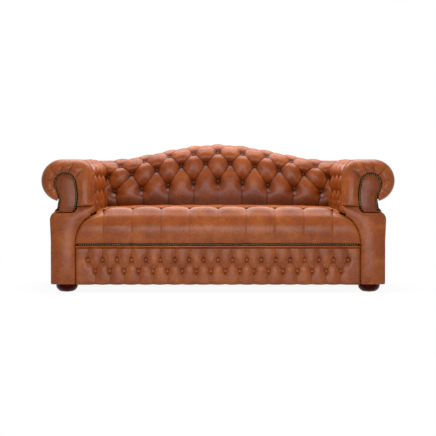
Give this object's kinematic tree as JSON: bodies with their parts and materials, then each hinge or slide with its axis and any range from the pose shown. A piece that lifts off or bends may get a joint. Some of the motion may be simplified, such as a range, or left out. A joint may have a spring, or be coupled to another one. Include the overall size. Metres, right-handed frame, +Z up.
{
  "type": "three-seat sofa",
  "caption": "Deep-buttoned leather sofa with scroll arms, a humped back, a buttoned bench seat and turned bun feet.",
  "frame": {"origin": "on the floor, under the middle of the sofa", "axes": "+X along the width, to the right of someone who faces the sofa; +Y from its front to its rear; +Z up"},
  "size_m": [2.1002, 0.9391, 0.916],
  "materials": {
    "leather": "glossy aniline-dyed hide with soft brown mottling",
    "nails": "antique bronze",
    "foot_wood": "dark mahogany lacquer",
    "frame_wood": "planed, unfinished",
    "webbing": "woven jute",
    "hessian": "open weave",
    "stuffing": "soft core under a cotton cover",
    "dust_cloth": "thin black cloth",
    "glides": "smooth",
    "bolts": "zinc plated"
  },
  "bodies": {
    "root": {"arm_buttons_left": "leather", "arm_buttons_right": "leather", "arm_front_borders": "leather", "arm_front_panels": "leather", "arm_lower_rail_left": "frame_wood", "arm_lower_rail_right": "frame_wood", "arm_neck_rail_left": "frame_wood", "arm_neck_rail_right": "frame_wood", "arm_roll_rail_left": "frame_wood", "arm_roll_rail_right": "frame_wood", "arm_scroll_board_left": "frame_wood", "arm_scroll_board_right": "frame_wood", "arm_top_rail_left": "frame_wood", "arm_top_rail_right": "frame_wood", "back_buttons": "leather", "back_cross_rail": "frame_wood", "back_lower_rail": "frame_wood", "back_roll_rail": "frame_wood", "back_top_rail": "frame_wood", "back_uprights": "frame_wood", "bun_feet": "foot_wood", "corner_blocks": "frame_wood", "crosswise_webbing": "webbing", "dust_cover": "dust_cloth", "facing_nail_strips": "nails", "foot_bolts": "bolts", "foot_glides": "glides", "front_border": "leather", "front_border_buttons": "leather", "front_nail_strip": "nails", "front_rail": "frame_wood", "inside_arm_pad_left": "leather", "inside_arm_pad_right": "leather", "inside_back_pad": "leather", "lengthwise_webbing": "webbing", "outside_arm_panel_left": "leather", "outside_arm_panel_right": "leather", "outside_back_panel": "leather", "rear_post_left": "frame_wood", "rear_post_right": "frame_wood", "rear_rail": "frame_wood", "scroll_facings": "leather", "seat_buttons": "leather", "seat_core": "stuffing", "seat_front_lip": "leather", "seat_hessian": "hessian", "seat_pad": "leather", "seat_stretchers": "frame_wood", "side_rail_left": "frame_wood", "side_rail_right": "frame_wood"}
  },
  "joints": []
}
